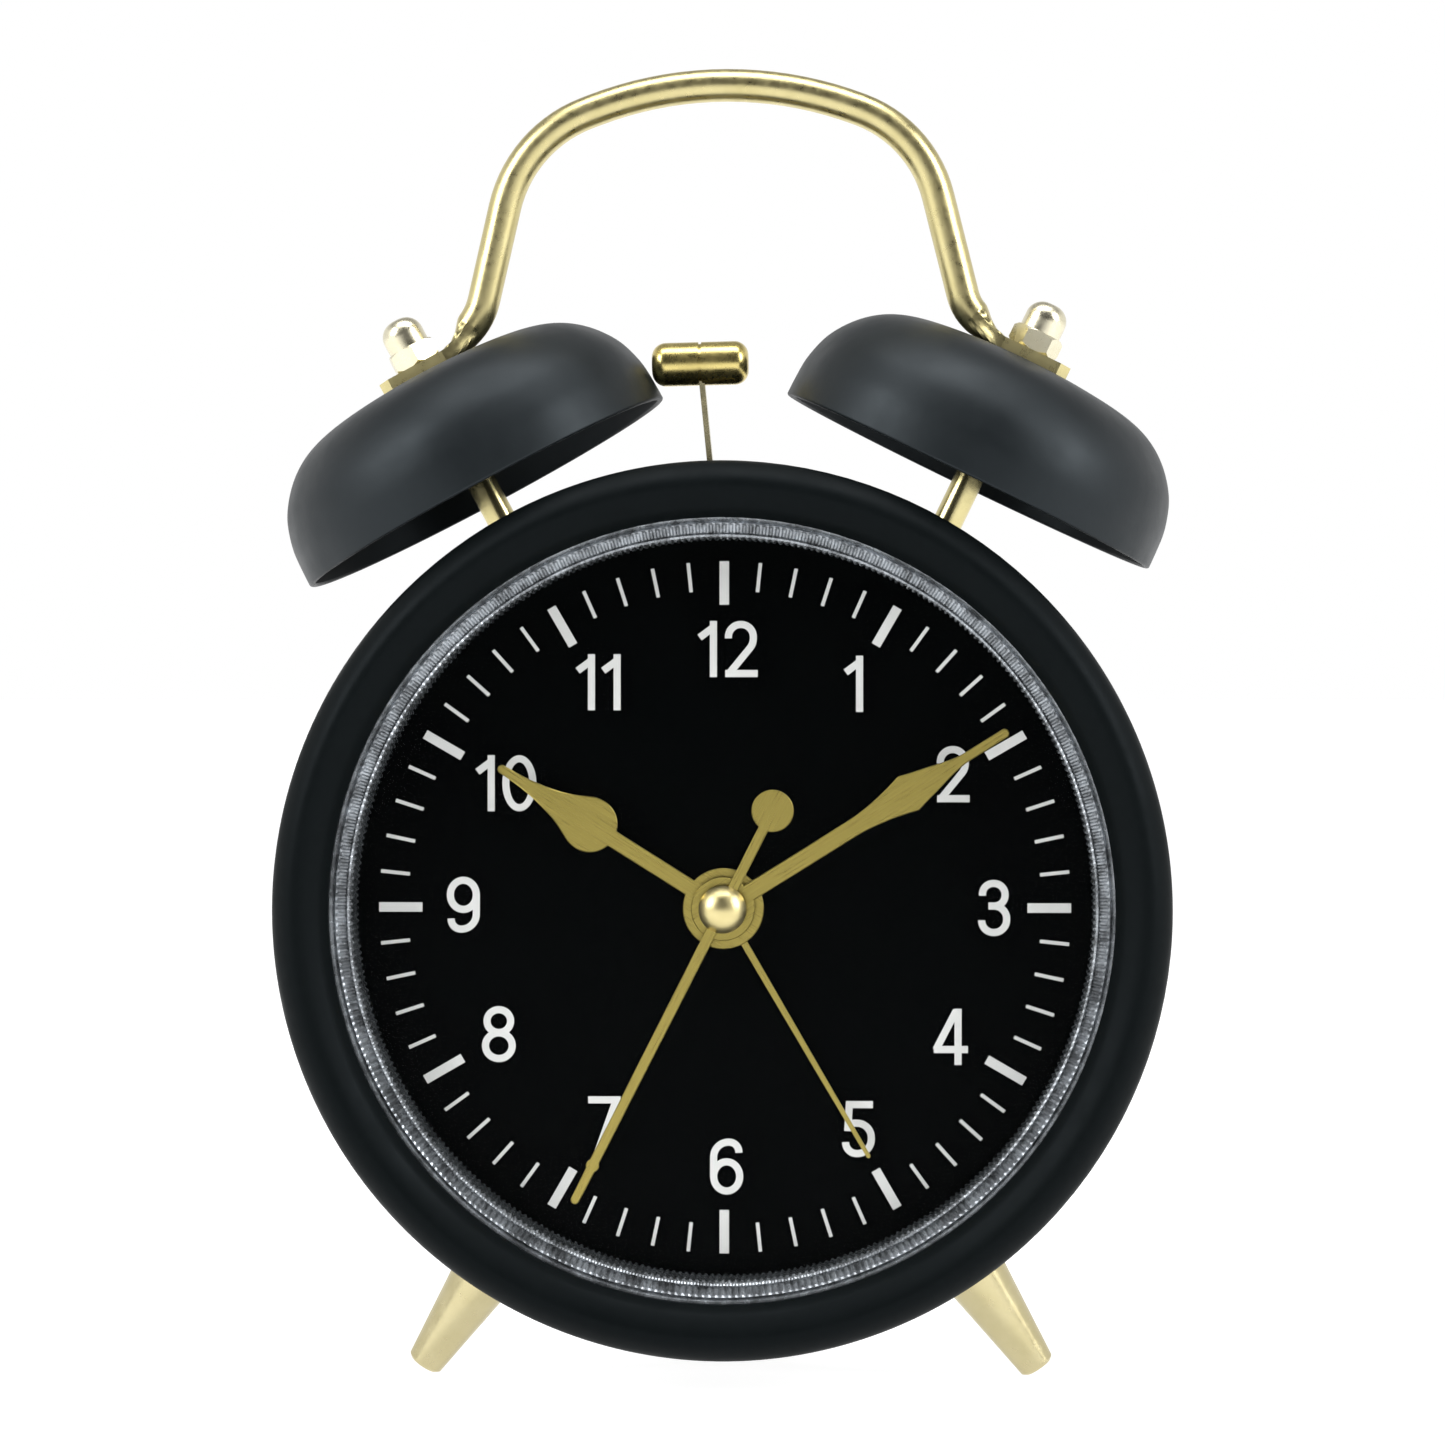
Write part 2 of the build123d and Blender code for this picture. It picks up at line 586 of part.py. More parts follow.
def movement_front():
    """Front plate with the dial neck and the fixed posts, and the side walls."""
    y0 = DIAL_Y + DIAL_THICKNESS
    outer = RectangleRounded(2 * MOVEMENT_HALF_X, 2 * MOVEMENT_HALF_Z, 3)
    inner = RectangleRounded(2 * (MOVEMENT_HALF_X - MOVEMENT_WALL),
                             2 * (MOVEMENT_HALF_Z - MOVEMENT_WALL), 2)
    body = slab(outer, y0, MOVEMENT_SPLIT_Y) - slab(inner, y0 + PLATE, MOVEMENT_SPLIT_Y + 1)
    body += disc(NECK_RADIUS, DIAL_Y - 0.8, y0 + 0.1)
    body -= disc(ALARM_PIPE + RUN, DIAL_Y - 2, y0 + PLATE + 1)
    body = arbor_holes(body, y0 - 1, y0 + PLATE + 1)
    for place in (TIME_SET_AT, ALARM_SET_AT):
        body -= disc(POST + RUN, y0 - 1, y0 + PLATE + 1, *place)
    body += disc(POST, y0 + PLATE - 0.1, LEVEL["alarm"] + 1.0, *IDLER_AT)
    body += disc(POST, y0 + PLATE - 0.1, LEVEL["motion"] + 1.1, *MOTION_AT)
    return body


def movement_rear():
    """Rear plate of the movement with a short skirt that meets the front half."""
    outer = RectangleRounded(2 * MOVEMENT_HALF_X, 2 * MOVEMENT_HALF_Z, 3)
    inner = RectangleRounded(2 * (MOVEMENT_HALF_X - MOVEMENT_WALL),
                             2 * (MOVEMENT_HALF_Z - MOVEMENT_WALL), 2)
    body = slab(outer, MOVEMENT_SPLIT_Y, MOVEMENT_REAR_Y)
    body -= slab(inner, MOVEMENT_SPLIT_Y - 1, MOVEMENT_REAR_Y - PLATE)
    body = arbor_holes(body, 0, MOVEMENT_REAR_Y + 1)
    body -= disc(SECOND_ARBOR + RUN, 0, MOVEMENT_REAR_Y + 1)
    for place in (TIME_SET_AT, ALARM_SET_AT):
        body -= disc(SHAFT_RADIUS + RUN, 0, MOVEMENT_REAR_Y + 1, *place)
    return body


COIL_Z = -20.5
COIL_X = (2.5, 19.5)


def motor_coil():
    """Stepping motor: stator plate with the rotor hole, bobbin and winding."""
    x, z = ROTOR_AT
    pole = block(x - 4.2, x + 4.2, -0.9, 0.1, z - 4.0, z + 4.0)
    core = block(x - 4.2, COIL_X[1] + 3, -0.9, 0.1, COIL_Z - 1.5, COIL_Z + 1.5)
    leg = block(x - 4.2, x + 4.2, -0.9, 0.1, COIL_Z, z)
    parts["stator"] = one_solid(pole + leg + core - disc(2.4, -2, 2, x, z))
    hole = block(COIL_X[0] - 1, COIL_X[1] + 1, -0.95, 0.15, COIL_Z - 1.55, COIL_Z + 1.55)
    spool = block(*COIL_X, -1.5, 0.7, COIL_Z - 2.1, COIL_Z + 2.1)
    for edge in COIL_X:
        spool += block(edge - 0.5, edge + 0.5, -2.3, 1.5, COIL_Z - 3.0, COIL_Z + 3.0)
    parts["coil_bobbin"] = one_solid(spool - hole)
    wound = block(COIL_X[0] + 0.5, COIL_X[1] - 0.5, -2.1, 1.3, COIL_Z - 2.8, COIL_Z + 2.8)
    wound = fillet(wound.edges().filter_by(Axis.X), 0.8)
    parts["coil_winding"] = wound - block(COIL_X[0], COIL_X[1], -1.5, 0.7, COIL_Z - 2.1,
                                          COIL_Z + 2.1)


def movement_board():
    """Small board with the driver chip and the quartz crystal can."""
    board = block(6.0, 25.0, 0.4, 1.2, -16.0, -5.0)
    chip = block(16.0, 20.0, -0.6, 0.4, -14.0, -10.0)
    can = Pos(11.0, -0.6, AXIS_HEIGHT - 8.0) * Rot(0, 90, 0) * Cylinder(1.0, 6.0)
    return Compound([board, chip, can])


# ---------------------------------------------------------------- bells and handle
def bell_face(inset):
    """Half section of a bell's outside, or of its inside when inset by the wall."""
    curve = []
    points = [(25.74, 0.0), *BELL_OUTLINE, (CROWN_FLAT, BELL_HEIGHT)]
    for (r0, h0), (r1, h1), (r2, h2) in zip(points, points[1:], points[2:]):
        along = hypot(r2 - r0, h2 - h0)
        curve.append((r1 - inset * (h2 - h0) / along, h1 + inset * (r2 - r0) / along))
    foot = (25.74 - inset, 0)
    crown = (CROWN_FLAT, BELL_HEIGHT - inset)
    wall = Spline(foot, *curve, crown, tangents=((0, 1), (-1, 0)))
    outline = Curve() + Line((0, 0), foot) + wall
    outline += Line(crown, (0, crown[1])) + Line((0, crown[1]), (0, 0))
    return Plane.XZ * make_face(outline)


def bell():
    shell = revolve(bell_face(0), Axis.Z, 360) - revolve(bell_face(BELL_WALL), Axis.Z, 360)
    shell = fillet(shell.edges().filter_by(GeomType.CIRCLE).group_by(Axis.Z)[0], 0.3)
    return one_solid(shell - upright(STUD_HOLE, 0, BELL_HEIGHT + 2))


def bell_stem(side):
    """Spacer tube between the case and the inside of the bell's crown."""
    foot = 0.2 - BELLS[side][3]
    top = BELL_HEIGHT - BELL_WALL
    return upright(STEM_RADIUS, foot, top) - upright(STUD_HOLE, foot - 1, top + 1)


NUT_SEAT = BELL_HEIGHT + PLATE_THICKNESS


def bell_stud(side):
    return upright(STUD_RADIUS, -4.4 - BELLS[side][3], NUT_SEAT + 3.4)


def acorn_nut(side):
    """Hexagon with chamfered corners and a domed top, blind hole from below."""
    corner = NUT_FLATS / 2 / cos(radians(30))
    shoulder = NUT_SEAT + NUT_HEX_HEIGHT
    hexa = Pos(0, 0, NUT_SEAT) * Rot(0, 0, NUT_TURN[side]) * \
        extrude(hexagon(NUT_FLATS), amount=NUT_HEX_HEIGHT)
    envelope = upright(corner + 0.01, NUT_SEAT, shoulder)
    envelope = chamfer(envelope.edges().filter_by(GeomType.CIRCLE), 0.45)
    dome = upright(NUT_DOME_RADIUS, shoulder - 0.5, NUT_SEAT + NUT_HEIGHT)
    dome = fillet(dome.faces().sort_by(Axis.Z)[-1].edges(), NUT_DOME_RADIUS - 0.5)
    return one_solid((hexa & envelope) + dome - upright(STUD_HOLE, NUT_SEAT - 1, NUT_SEAT + 3.7))


def stud_nut(side):
    """Plain hexagon nut inside the case."""
    foot = -BELLS[side][3]
    nut = Pos(0, 0, foot - 3.4) * extrude(hexagon(5.4), amount=2.3)
    return nut - upright(STUD_HOLE, foot - 5, foot + 1)


def handle_plate():
    """Flattened end with cut corners, lying on the bell's crown, local +X inwards."""
    w = PLATE_HALF_WIDTH
    outline = make_face(Polyline((-PLATE_OUTER, -w + 1.6), (-PLATE_OUTER + 1.4, -w),
                                 (PLATE_INNER, -w), (PLATE_INNER, w), (-PLATE_OUTER + 1.4, w),
                                 (-PLATE_OUTER, w - 1.6), close=True))
    return Pos(0, 0, BELL_HEIGHT) * extrude(outline, amount=PLATE_THICKNESS)


def cushion(half_width, half_height, roundness):
    """Four-sided outline from a rectangle (roundness 0) to an ellipse (roundness 1)."""
    corner = 2 ** (-roundness / 2)
    x, y = half_width * corner, half_height * corner
    if roundness == 0:
        return make_face(Polyline((x, -y), (x, y), (-x, y), (-x, -y), close=True))
    return make_face(Curve() + [ThreePointArc((x, -y), (half_width, 0), (x, y)),
                                ThreePointArc((x, y), (0, half_height), (-x, y)),
                                ThreePointArc((-x, y), (-half_width, 0), (-x, -y)),
                                ThreePointArc((-x, -y), (0, -half_height), (x, -y))])


def flattened_end(route, from_start):
    """Rod end that flattens into its plate, keeping its underside on the crown's plane."""
    sections = []
    for step in range(5):
        share = step / 4
        blend = share * share * (3 - 2 * share)
        along = share * FLATTENING if from_start else route.length - share * FLATTENING
        place = route.position_at(along, position_mode=PositionMode.LENGTH)
        heading = route.tangent_at(along, position_mode=PositionMode.LENGTH)
        upward = heading.cross(Vector(0, 1, 0))
        half_height = PLATE_THICKNESS / 2 * (1 - blend) + ROD_RADIUS * blend
        half_width = PLATE_HALF_WIDTH * (1 - blend) + ROD_RADIUS * blend
        plane = Plane(origin=place - upward * (ROD_RADIUS - half_height), x_dir=(0, 1, 0),
                      z_dir=heading)
        sections.append(plane * cushion(half_width, half_height, blend))
    return loft(sections)


def crossing(start, way, other, other_way):
    """Point where two lines in the plane of the dial cross."""
    gap = other - start
    reach = (gap.X * other_way.Y - gap.Y * other_way.X) / (way.X * other_way.Y
                                                           - way.Y * other_way.X)
    return start + way * reach


def handle():
    """Rod along tangent arcs from one bell crown to the other, and its two plates."""
    ends = {}
    top = Vector(*HANDLE_TOP)
    for side, (sign, stud_angle, tilt, mouth_height) in BELLS.items():
        t = radians(tilt)
        seat_x, seat_z = clockwise(sign * stud_angle, CASE_RADIUS)
        rise = mouth_height + BELL_HEIGHT + ROD_RADIUS
        origin = Vector(seat_x + sign * sin(t) * rise, seat_z + cos(t) * rise)
        inwards = Vector(-sign * cos(t), sin(t))
        leg_x, leg_z, slope = LEG[side]
        leg = Vector(sign * sin(radians(slope)), -cos(radians(slope)))
        roof = Vector(sign * cos(radians(TOP_SLOPE)), -sin(radians(TOP_SLOPE)))
        on_leg = Vector(leg_x, leg_z)
        shoulder = crossing(top, roof, on_leg, leg)
        ends[side] = (origin + inwards * PLATE_INNER, crossing(origin, inwards, on_leg, leg),
                      shoulder)
    left, right = ends["left"], ends["right"]
    points = [left[0], left[1], left[2], top, right[2], right[1], right[0]]
    route = face_plane(BELL_Y) * FilletPolyline(*[(p.X, p.Y) for p in points],
                                                radius=HANDLE_RADII)
    route = Wire(route.edges())
    round_part = route.trim(FLATTENING / route.length, 1 - FLATTENING / route.length)
    section = Plane(origin=round_part @ 0, z_dir=round_part % 0) * Circle(ROD_RADIUS)
    body = sweep(section, path=round_part)
    body += flattened_end(route, True)
    body += flattened_end(route, False)
    for side, turn in (("left", 0), ("right", 180)):
        body += bell_seat(side) * Rot(0, 0, turn) * handle_plate()
        body -= bell_seat(side) * upright(STUD_HOLE, BELL_HEIGHT - 1, NUT_SEAT + 3)
    return one_solid(body)


# ---------------------------------------------------------------- hammer
def hammer_frame():
    """Hammer drawn upright above the pivot, then leant to its place at rest."""
    pivot = Pos(PIVOT_AT[0], BELL_Y, AXIS_HEIGHT + PIVOT_AT[1])
    return pivot * Rot(0, -HAMMER_LEAN, 0)


def hammer_strip():
    """Spring strip from the tail below the pivot up into the head."""
    top = HAMMER_REACH - HAMMER_RADIUS + 1.0
    return Pos(0, 0, (top - ARM_TAIL) / 2) * Box(ARM_THICKNESS, ARM_DEPTH, top + ARM_TAIL)


def hammer_arm():
    """Spring strip with a hub on the pivot pin."""
    hub = Rot(90, 0, 0) * Cylinder(2.3, ARM_DEPTH + 0.4)
    body = hammer_strip() + hub - Rot(90, 0, 0) * Cylinder(1.0 + RUN, 10)
    return one_solid(hammer_frame() * body)


def hammer_head():
    """Turned cylinder with rounded ends and a fine groove round its middle."""
    half = HAMMER_LENGTH / 2
    outline = make_face(FilletPolyline((0, 0), (half, 0), (half, HAMMER_RADIUS),
                                       (-half, HAMMER_RADIUS), (-half, 0), close=True,
                                       radius=(0, 0, 1.8, 1.8, 0)))
    outline -= Pos(0, HAMMER_RADIUS) * Rectangle(0.4, 0.44)
    lean = Rot(0, HAMMER_LEAN + HAMMER_HEAD_TILT, 0)
    head = Pos(0, 0, HAMMER_REACH) * lean * revolve(outline, Axis.X, 360)
    return one_solid(hammer_frame() * (head - hammer_strip()))


def hammer_drive():
    """Bracket behind the movement, motor, crank disc with its pin, and the pivot pin."""
    plate = slab(Pos(0, 30) * RectangleRounded(20, 37, 2), BRACKET_Y, BRACKET_Y + 1.0)
    plate -= disc(1.5, 0, 10, 0, MOTOR_Z)
    parts["motor_bracket"] = plate
    y0 = BRACKET_Y + 1.0
    can = disc(MOTOR_RADIUS, y0, y0 + 13.0, 0, MOTOR_Z)
    can = chamfer(can.faces().sort_by(Axis.Y)[-1].edges(), 0.8)
    parts["hammer_motor"] = can + disc(1.2, y0 + 12.9, y0 + 14.0, 0, MOTOR_Z)
    crank = disc(3.6, 1.4, 2.7, 0, MOTOR_Z) + disc(0.7, -0.2, 1.5, 0, MOTOR_Z - 2.4)
    parts["motor_crank"] = crank + disc(0.75, 2.6, y0 - 0.1, 0, MOTOR_Z)
    pin = disc(1.0, BELL_Y - 2.4, BRACKET_Y, *PIVOT_AT)
    pin += disc(1.9, BELL_Y + 1.5, BRACKET_Y, *PIVOT_AT)
    parts["hammer_pivot"] = pin + disc(1.8, BELL_Y - 2.4, BELL_Y - 1.6, *PIVOT_AT)


# ---------------------------------------------------------------- feet
def foot(side):
    """Tapered turned foot, its top shaped to the case, its lowest edge just flattened."""
    length = FEET[side][2]
    end = FOOT_END_RADIUS
    top = end + (length + 3) * tan(radians(FOOT_TAPER))
    cone = revolve(Plane.XZ * make_face(Polyline((0, 0), (end - 0.3, 0), (end + 0.05, 0.35),
                                                 (top, length + 3), (0, length + 3),
                                                 close=True)), Axis.Z, 360)
    cone -= upright(1.3, length - 9, length + 4)
    body = foot_seat(side) * cone - disc(CASE_RADIUS + 0.02, -40, 40)
    return one_solid(body - Pos(0, 0, -5) * Box(200, 200, 10))


def foot_screw(side):
    """Screw that holds a foot from inside the case."""
    length = FEET[side][2]
    inner = length + CASE_WALL + 0.45
    screw = upright(1.25, length - 8.5, inner + 0.2) + upright(2.4, inner, inner + 1.6)
    return foot_seat(side) * (screw - upright(0.9, inner + 0.8, inner + 3))


# ---------------------------------------------------------------- rear cover and controls
def rear_cover():
    """Moulded back with the battery tray, its door opening and the control openings."""
    body = disc(COVER_RADIUS, COVER_FRONT_Y, COVER_REAR_Y)
    body += block(-TRAY_HALF_X - TRAY_WALL, TRAY_HALF_X + TRAY_WALL, TRAY_FLOOR_Y, COVER_FRONT_Y,
                  TRAY_BOTTOM - TRAY_WALL, TRAY_TOP + TRAY_WALL)
    body -= block(-TRAY_HALF_X, TRAY_HALF_X, TRAY_FLOOR_Y + 1.0, COVER_FRONT_Y, TRAY_BOTTOM,
                  TRAY_TOP)
    gap = DOOR_GAP
    body -= block(-DOOR_HALF_X - gap, DOOR_HALF_X + gap, COVER_FRONT_Y - 1, COVER_REAR_Y + 1,
                  DOOR_HINGE_Z - DOOR_THICKNESS / 2 - gap, DOOR_TOP + gap)
    body += block(-DOOR_HALF_X - 0.5, DOOR_HALF_X + 0.5, TRAY_FLOOR_Y + 0.5, COVER_REAR_Y - 0.9,
                  (CELL_HEIGHTS[0] + CELL_HEIGHTS[1]) / 2 - 0.1,
                  (CELL_HEIGHTS[0] + CELL_HEIGHTS[1]) / 2 + 0.1) & \
        block(-100, 100, TRAY_FLOOR_Y, 6.0, -100, 100)
    body -= hinge_rod(DOOR_PIN[0] + RUN, DOOR_HALF_X + DOOR_PIN[1] + 0.2)
    for x in (TIME_SET_AT[0], ALARM_SET_AT[0]):
        body -= disc(SHAFT_RADIUS + 0.3, COVER_FRONT_Y - 1, COVER_REAR_Y + 1, x, 0)
        body -= disc(KNOB_RADIUS + 0.9, COVER_REAR_Y - 0.6, COVER_REAR_Y + 1, x, 0)
    body -= disc(BUTTON_RADIUS + 0.2, COVER_FRONT_Y - 1, COVER_REAR_Y + 1, BUTTON_X, CONTROL_Z)
    body -= block(SWITCH_X - 4.5, SWITCH_X + 4.5, COVER_FRONT_Y - 1, COVER_REAR_Y + 1,
                  CONTROL_Z - 1.7, CONTROL_Z + 1.7)
    body -= block(SWITCH_X - 6.5, SWITCH_X + 6.5, COVER_REAR_Y - 0.8, COVER_REAR_Y + 1,
                  CONTROL_Z - 3.2, CONTROL_Z + 3.2)
    for n in range(7):
        x = 4.0 * (n - 3)
        slot = slab(Pos(x, 36) * SlotOverall(9, 1.4, rotation=90), COVER_FRONT_Y - 1,
                    COVER_REAR_Y + 1)
        body -= slot
    for angle in COVER_SCREW_ANGLES:
        x, z = clockwise(90 - angle, COVER_SCREW_RADIUS)
        body -= disc(1.1, COVER_FRONT_Y - 1, COVER_REAR_Y + 1, x, z)
        body -= disc(2.2, COVER_REAR_Y - 1.2, COVER_REAR_Y + 1, x, z)
    for x in (-28, 28):
        body += disc(1.8, BOARD_Y + BOARD_THICKNESS, COVER_FRONT_Y, x, CONTROL_Z - 5)
    return one_solid(body)


def cover_screws():
    screws = []
    for angle in COVER_SCREW_ANGLES:
        x, z = clockwise(90 - angle, COVER_SCREW_RADIUS)
        screw = disc(0.75, LEDGE_Y - 4, COVER_REAR_Y - 1, x, z)
        screw += disc(1.9, COVER_REAR_Y - 1.2, COVER_REAR_Y - 0.1, x, z)
        cross = block(x - 1.2, x + 1.2, COVER_REAR_Y - 0.6, COVER_REAR_Y, z - 0.25, z + 0.25)
        cross += block(x - 0.25, x + 0.25, COVER_REAR_Y - 0.6, COVER_REAR_Y, z - 1.2, z + 1.2)
        screws.append(one_solid(screw - cross))
    return Compound(screws)


def hinge_rod(radius, half_length):
    """Cylinder along the battery door's hinge line."""
    middle = COVER_REAR_Y - DOOR_THICKNESS / 2
    return Pos(0, middle, AXIS_HEIGHT + DOOR_HINGE_Z) * Rot(0, 90, 0) * \
        Cylinder(radius, 2 * half_length)


def battery_door():
    """Flush lid with a rounded hinge edge and pins at the bottom, and ribs for the thumb."""
    y0 = COVER_REAR_Y - DOOR_THICKNESS
    lid = block(-DOOR_HALF_X, DOOR_HALF_X, y0, COVER_REAR_Y, DOOR_HINGE_Z, DOOR_TOP)
    lid += hinge_rod(DOOR_THICKNESS / 2, DOOR_HALF_X)
    lid += hinge_rod(DOOR_PIN[0], DOOR_HALF_X + DOOR_PIN[1])
    for n in range(5):
        z = DOOR_TOP - 3.0 - 1.4 * n
        lid -= block(-7, 7, COVER_REAR_Y - 0.5, COVER_REAR_Y + 1, z - 0.35, z + 0.35)
    return one_solid(lid)


def cells():
    """Two AA cells, the upper pointing right and the lower left, each with its cap."""
    bodies = []
    for z, sign in zip(CELL_HEIGHTS, (1, -1)):
        x = -0.5 * sign
        can = Pos(x, CELL_Y, AXIS_HEIGHT + z) * Rot(0, 90, 0) * Cylinder(CELL_RADIUS, 49.5)
        can = chamfer(can.edges(), 0.4)
        tip = Pos(sign * 24.75, CELL_Y, AXIS_HEIGHT + z) * Rot(0, 90, 0) * Cylinder(2.6, 1.4)
        bodies.append(one_solid(can + tip))
    return Compound(bodies)


def contacts():
    """Contact plates on the tray's end walls, with a cone spring's envelope at each minus end."""
    pieces = []
    for z, sign in zip(CELL_HEIGHTS, (1, -1)):
        x_plus = sign * TRAY_HALF_X
        plus = block(*sorted((x_plus, x_plus - sign * 2.3)), CELL_Y - 3, CELL_Y + 3, z - 4, z + 4)
        minus = block(*sorted((-x_plus, -x_plus + sign * 0.5)), CELL_Y - 5, CELL_Y + 5, z - 5,
                      z + 5)
        coil = Pos(-x_plus + sign * 1.5, CELL_Y, AXIS_HEIGHT + z) * Rot(0, sign * 90, 0) * \
            Cone(3.4, 2.2, 2.0)
        pieces += [plus, one_solid(minus + coil)]
    return Compound(pieces)


def controls():
    """Circuit board, push switch and button, slide switch and slider, the two knobs."""
    y1 = BOARD_Y + BOARD_THICKNESS
    parts["circuit_board"] = block(-31, 31, BOARD_Y, y1, 15.5, 27.0)
    parts["push_switch"] = block(BUTTON_X - 3, BUTTON_X + 3, y1, y1 + 2.4, CONTROL_Z - 3,
                                 CONTROL_Z + 3) + disc(1.4, y1 + 2.3, y1 + 3.0, BUTTON_X, CONTROL_Z)
    button = disc(BUTTON_RADIUS, COVER_FRONT_Y - 0.4, COVER_REAR_Y + 1.8, BUTTON_X, CONTROL_Z)
    button = fillet(button.faces().sort_by(Axis.Y)[-1].edges(), 0.6)
    button += disc(BUTTON_RADIUS + 0.8, COVER_FRONT_Y - 1.0, COVER_FRONT_Y - 0.1, BUTTON_X,
                   CONTROL_Z)
    parts["light_button"] = button + disc(1.2, y1 + 4.2, COVER_FRONT_Y - 0.9, BUTTON_X, CONTROL_Z)
    body = block(SWITCH_X - 5, SWITCH_X + 5, y1, y1 + 3.5, CONTROL_Z - 2.5, CONTROL_Z + 2.5)
    body -= block(SWITCH_X - 4.4, SWITCH_X + 4.4, y1 + 1.2, y1 + 4, CONTROL_Z - 1.2,
                  CONTROL_Z + 1.2)
    parts["slide_switch"] = body
    x = SWITCH_X - SWITCH_TRAVEL / 2
    slider = block(x - 1.2, x + 1.2, y1 + 1.3, COVER_REAR_Y - 0.5, CONTROL_Z - 1.1,
                   CONTROL_Z + 1.1)
    slider += block(x - 2.2, x + 2.2, COVER_REAR_Y - 0.7, COVER_REAR_Y + 1.2, CONTROL_Z - 2.4,
                    CONTROL_Z + 2.4)
    for n in range(3):
        rib = x + 1.2 * (n - 1)
        slider -= block(rib - 0.25, rib + 0.25, COVER_REAR_Y + 0.7, COVER_REAR_Y + 2,
                        CONTROL_Z - 3, CONTROL_Z + 3)
    parts["alarm_switch_slider"] = one_solid(slider)
    parts["time_set_knob"] = knob(TIME_SET_AT)
    parts["alarm_set_knob"] = knob(ALARM_SET_AT)


def rear_rest():
    """Rubber rest under the back of the case, shaped to the drum, flat on the table."""
    low = -AXIS_HEIGHT
    body = block(-REST_HALF_X, REST_HALF_X, *REST_Y, low, low + 12)
    body = fillet(body.edges().filter_by(Axis.Z), 1.5)
    return one_solid(body - disc(CASE_RADIUS + 0.02, -40, 40))


def light_parts():
    """Ring board behind the light ring's flange, and four LEDs on it."""
    parts["light_board"] = tube(53.6, 48.4, DIAL_Y - 1.9, DIAL_Y - 0.9)
    lamps = []
    for n in range(4):
        x, z = clockwise(45 + 90 * n, 50.6)
        lamps.append(disc(1.5, LENS_REAR_Y + 0.2 + RING_FLANGE, DIAL_Y - 1.9, x, z))
    parts["light_leds"] = Compound(lamps)


# ---------------------------------------------------------------- assembly
def build():
    parts["drum_case"] = drum_case()
    parts["bezel"] = bezel()
    parts["lens"] = disc(LENS_RADIUS, LENS_FRONT_Y, LENS_REAR_Y)
    parts["light_ring"] = light_ring()
    parts["dial_plate"] = tube(CASE_RADIUS - CASE_WALL - 0.1, NECK_RADIUS, DIAL_Y,
                               DIAL_Y + DIAL_THICKNESS)
    parts["dial_marks"] = ticks()
    parts["dial_numerals"] = numerals()
    light_parts()
    parts["hour_hand"] = hour_hand()
    parts["minute_hand"] = minute_hand()
    parts["second_hand"] = second_hand()
    parts["alarm_hand"] = alarm_hand()
    parts["hand_cap"] = hand_cap()
    motion_phase = going_train()
    alarm_train()
    set_phase = meshed(motion_phase, 36, 18, MOTION_WAY)
    parts["time_set_shaft"] = gear(TIME_SET_AT, 18, M_MOTION, "motion", set_phase) + \
        setting_shaft(TIME_SET_AT, LEVEL["motion"])
    parts["movement_front"] = movement_front()
    parts["movement_rear"] = movement_rear()
    parts["movement_board"] = movement_board()
    motor_coil()
    for side in BELLS:
        parts[f"bell_{side}"] = bell_seat(side) * bell()
    for name, make in (("bell_stems", bell_stem), ("bell_studs", bell_stud),
                       ("acorn_nuts", acorn_nut), ("stud_nuts", stud_nut)):
        parts[name] = Compound([bell_seat(side) * make(side) for side in BELLS])
    parts["handle"] = handle()
    parts["hammer_arm"] = hammer_arm()
    parts["hammer_head"] = hammer_head()
    hammer_drive()
    for side in FEET:
        parts[f"foot_{side}"] = foot(side)
    parts["foot_screws"] = Compound([foot_screw(side) for side in FEET])
    parts["rear_cover"] = rear_cover()
    parts["cover_screws"] = cover_screws()
    parts["battery_door"] = battery_door()
    parts["batteries"] = cells()
    parts["battery_contacts"] = contacts()
    controls()
    parts["rear_rest"] = rear_rest()


build()
for name, shape in parts.items():
    export_step(shape, f"parts/{name}.step")
print(len(parts), "nodes")
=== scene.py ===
import math

import bmesh
import bpy
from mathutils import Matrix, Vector


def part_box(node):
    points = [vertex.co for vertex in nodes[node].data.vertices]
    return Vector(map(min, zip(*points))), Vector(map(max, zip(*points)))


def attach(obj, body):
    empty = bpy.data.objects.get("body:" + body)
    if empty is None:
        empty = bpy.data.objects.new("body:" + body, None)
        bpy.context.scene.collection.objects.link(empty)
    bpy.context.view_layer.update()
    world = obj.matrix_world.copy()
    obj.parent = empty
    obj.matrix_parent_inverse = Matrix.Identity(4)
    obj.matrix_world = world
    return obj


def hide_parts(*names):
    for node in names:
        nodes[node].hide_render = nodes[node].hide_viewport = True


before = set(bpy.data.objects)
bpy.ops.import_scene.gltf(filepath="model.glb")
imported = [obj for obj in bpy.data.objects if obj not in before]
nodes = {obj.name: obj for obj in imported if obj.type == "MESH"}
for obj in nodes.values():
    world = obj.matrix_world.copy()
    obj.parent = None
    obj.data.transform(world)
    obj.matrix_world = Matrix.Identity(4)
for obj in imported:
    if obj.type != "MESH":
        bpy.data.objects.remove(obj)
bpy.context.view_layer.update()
MM = 0.001
MICRON = 0.000001

# The clock axis runs along Y through the centre of the dial plate.
dial_low, dial_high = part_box("dial_plate")
AXIS_Z = (dial_low.z + dial_high.z) / 2
DIAL_CENTRE = Vector((0, dial_low.y, AXIS_Z))


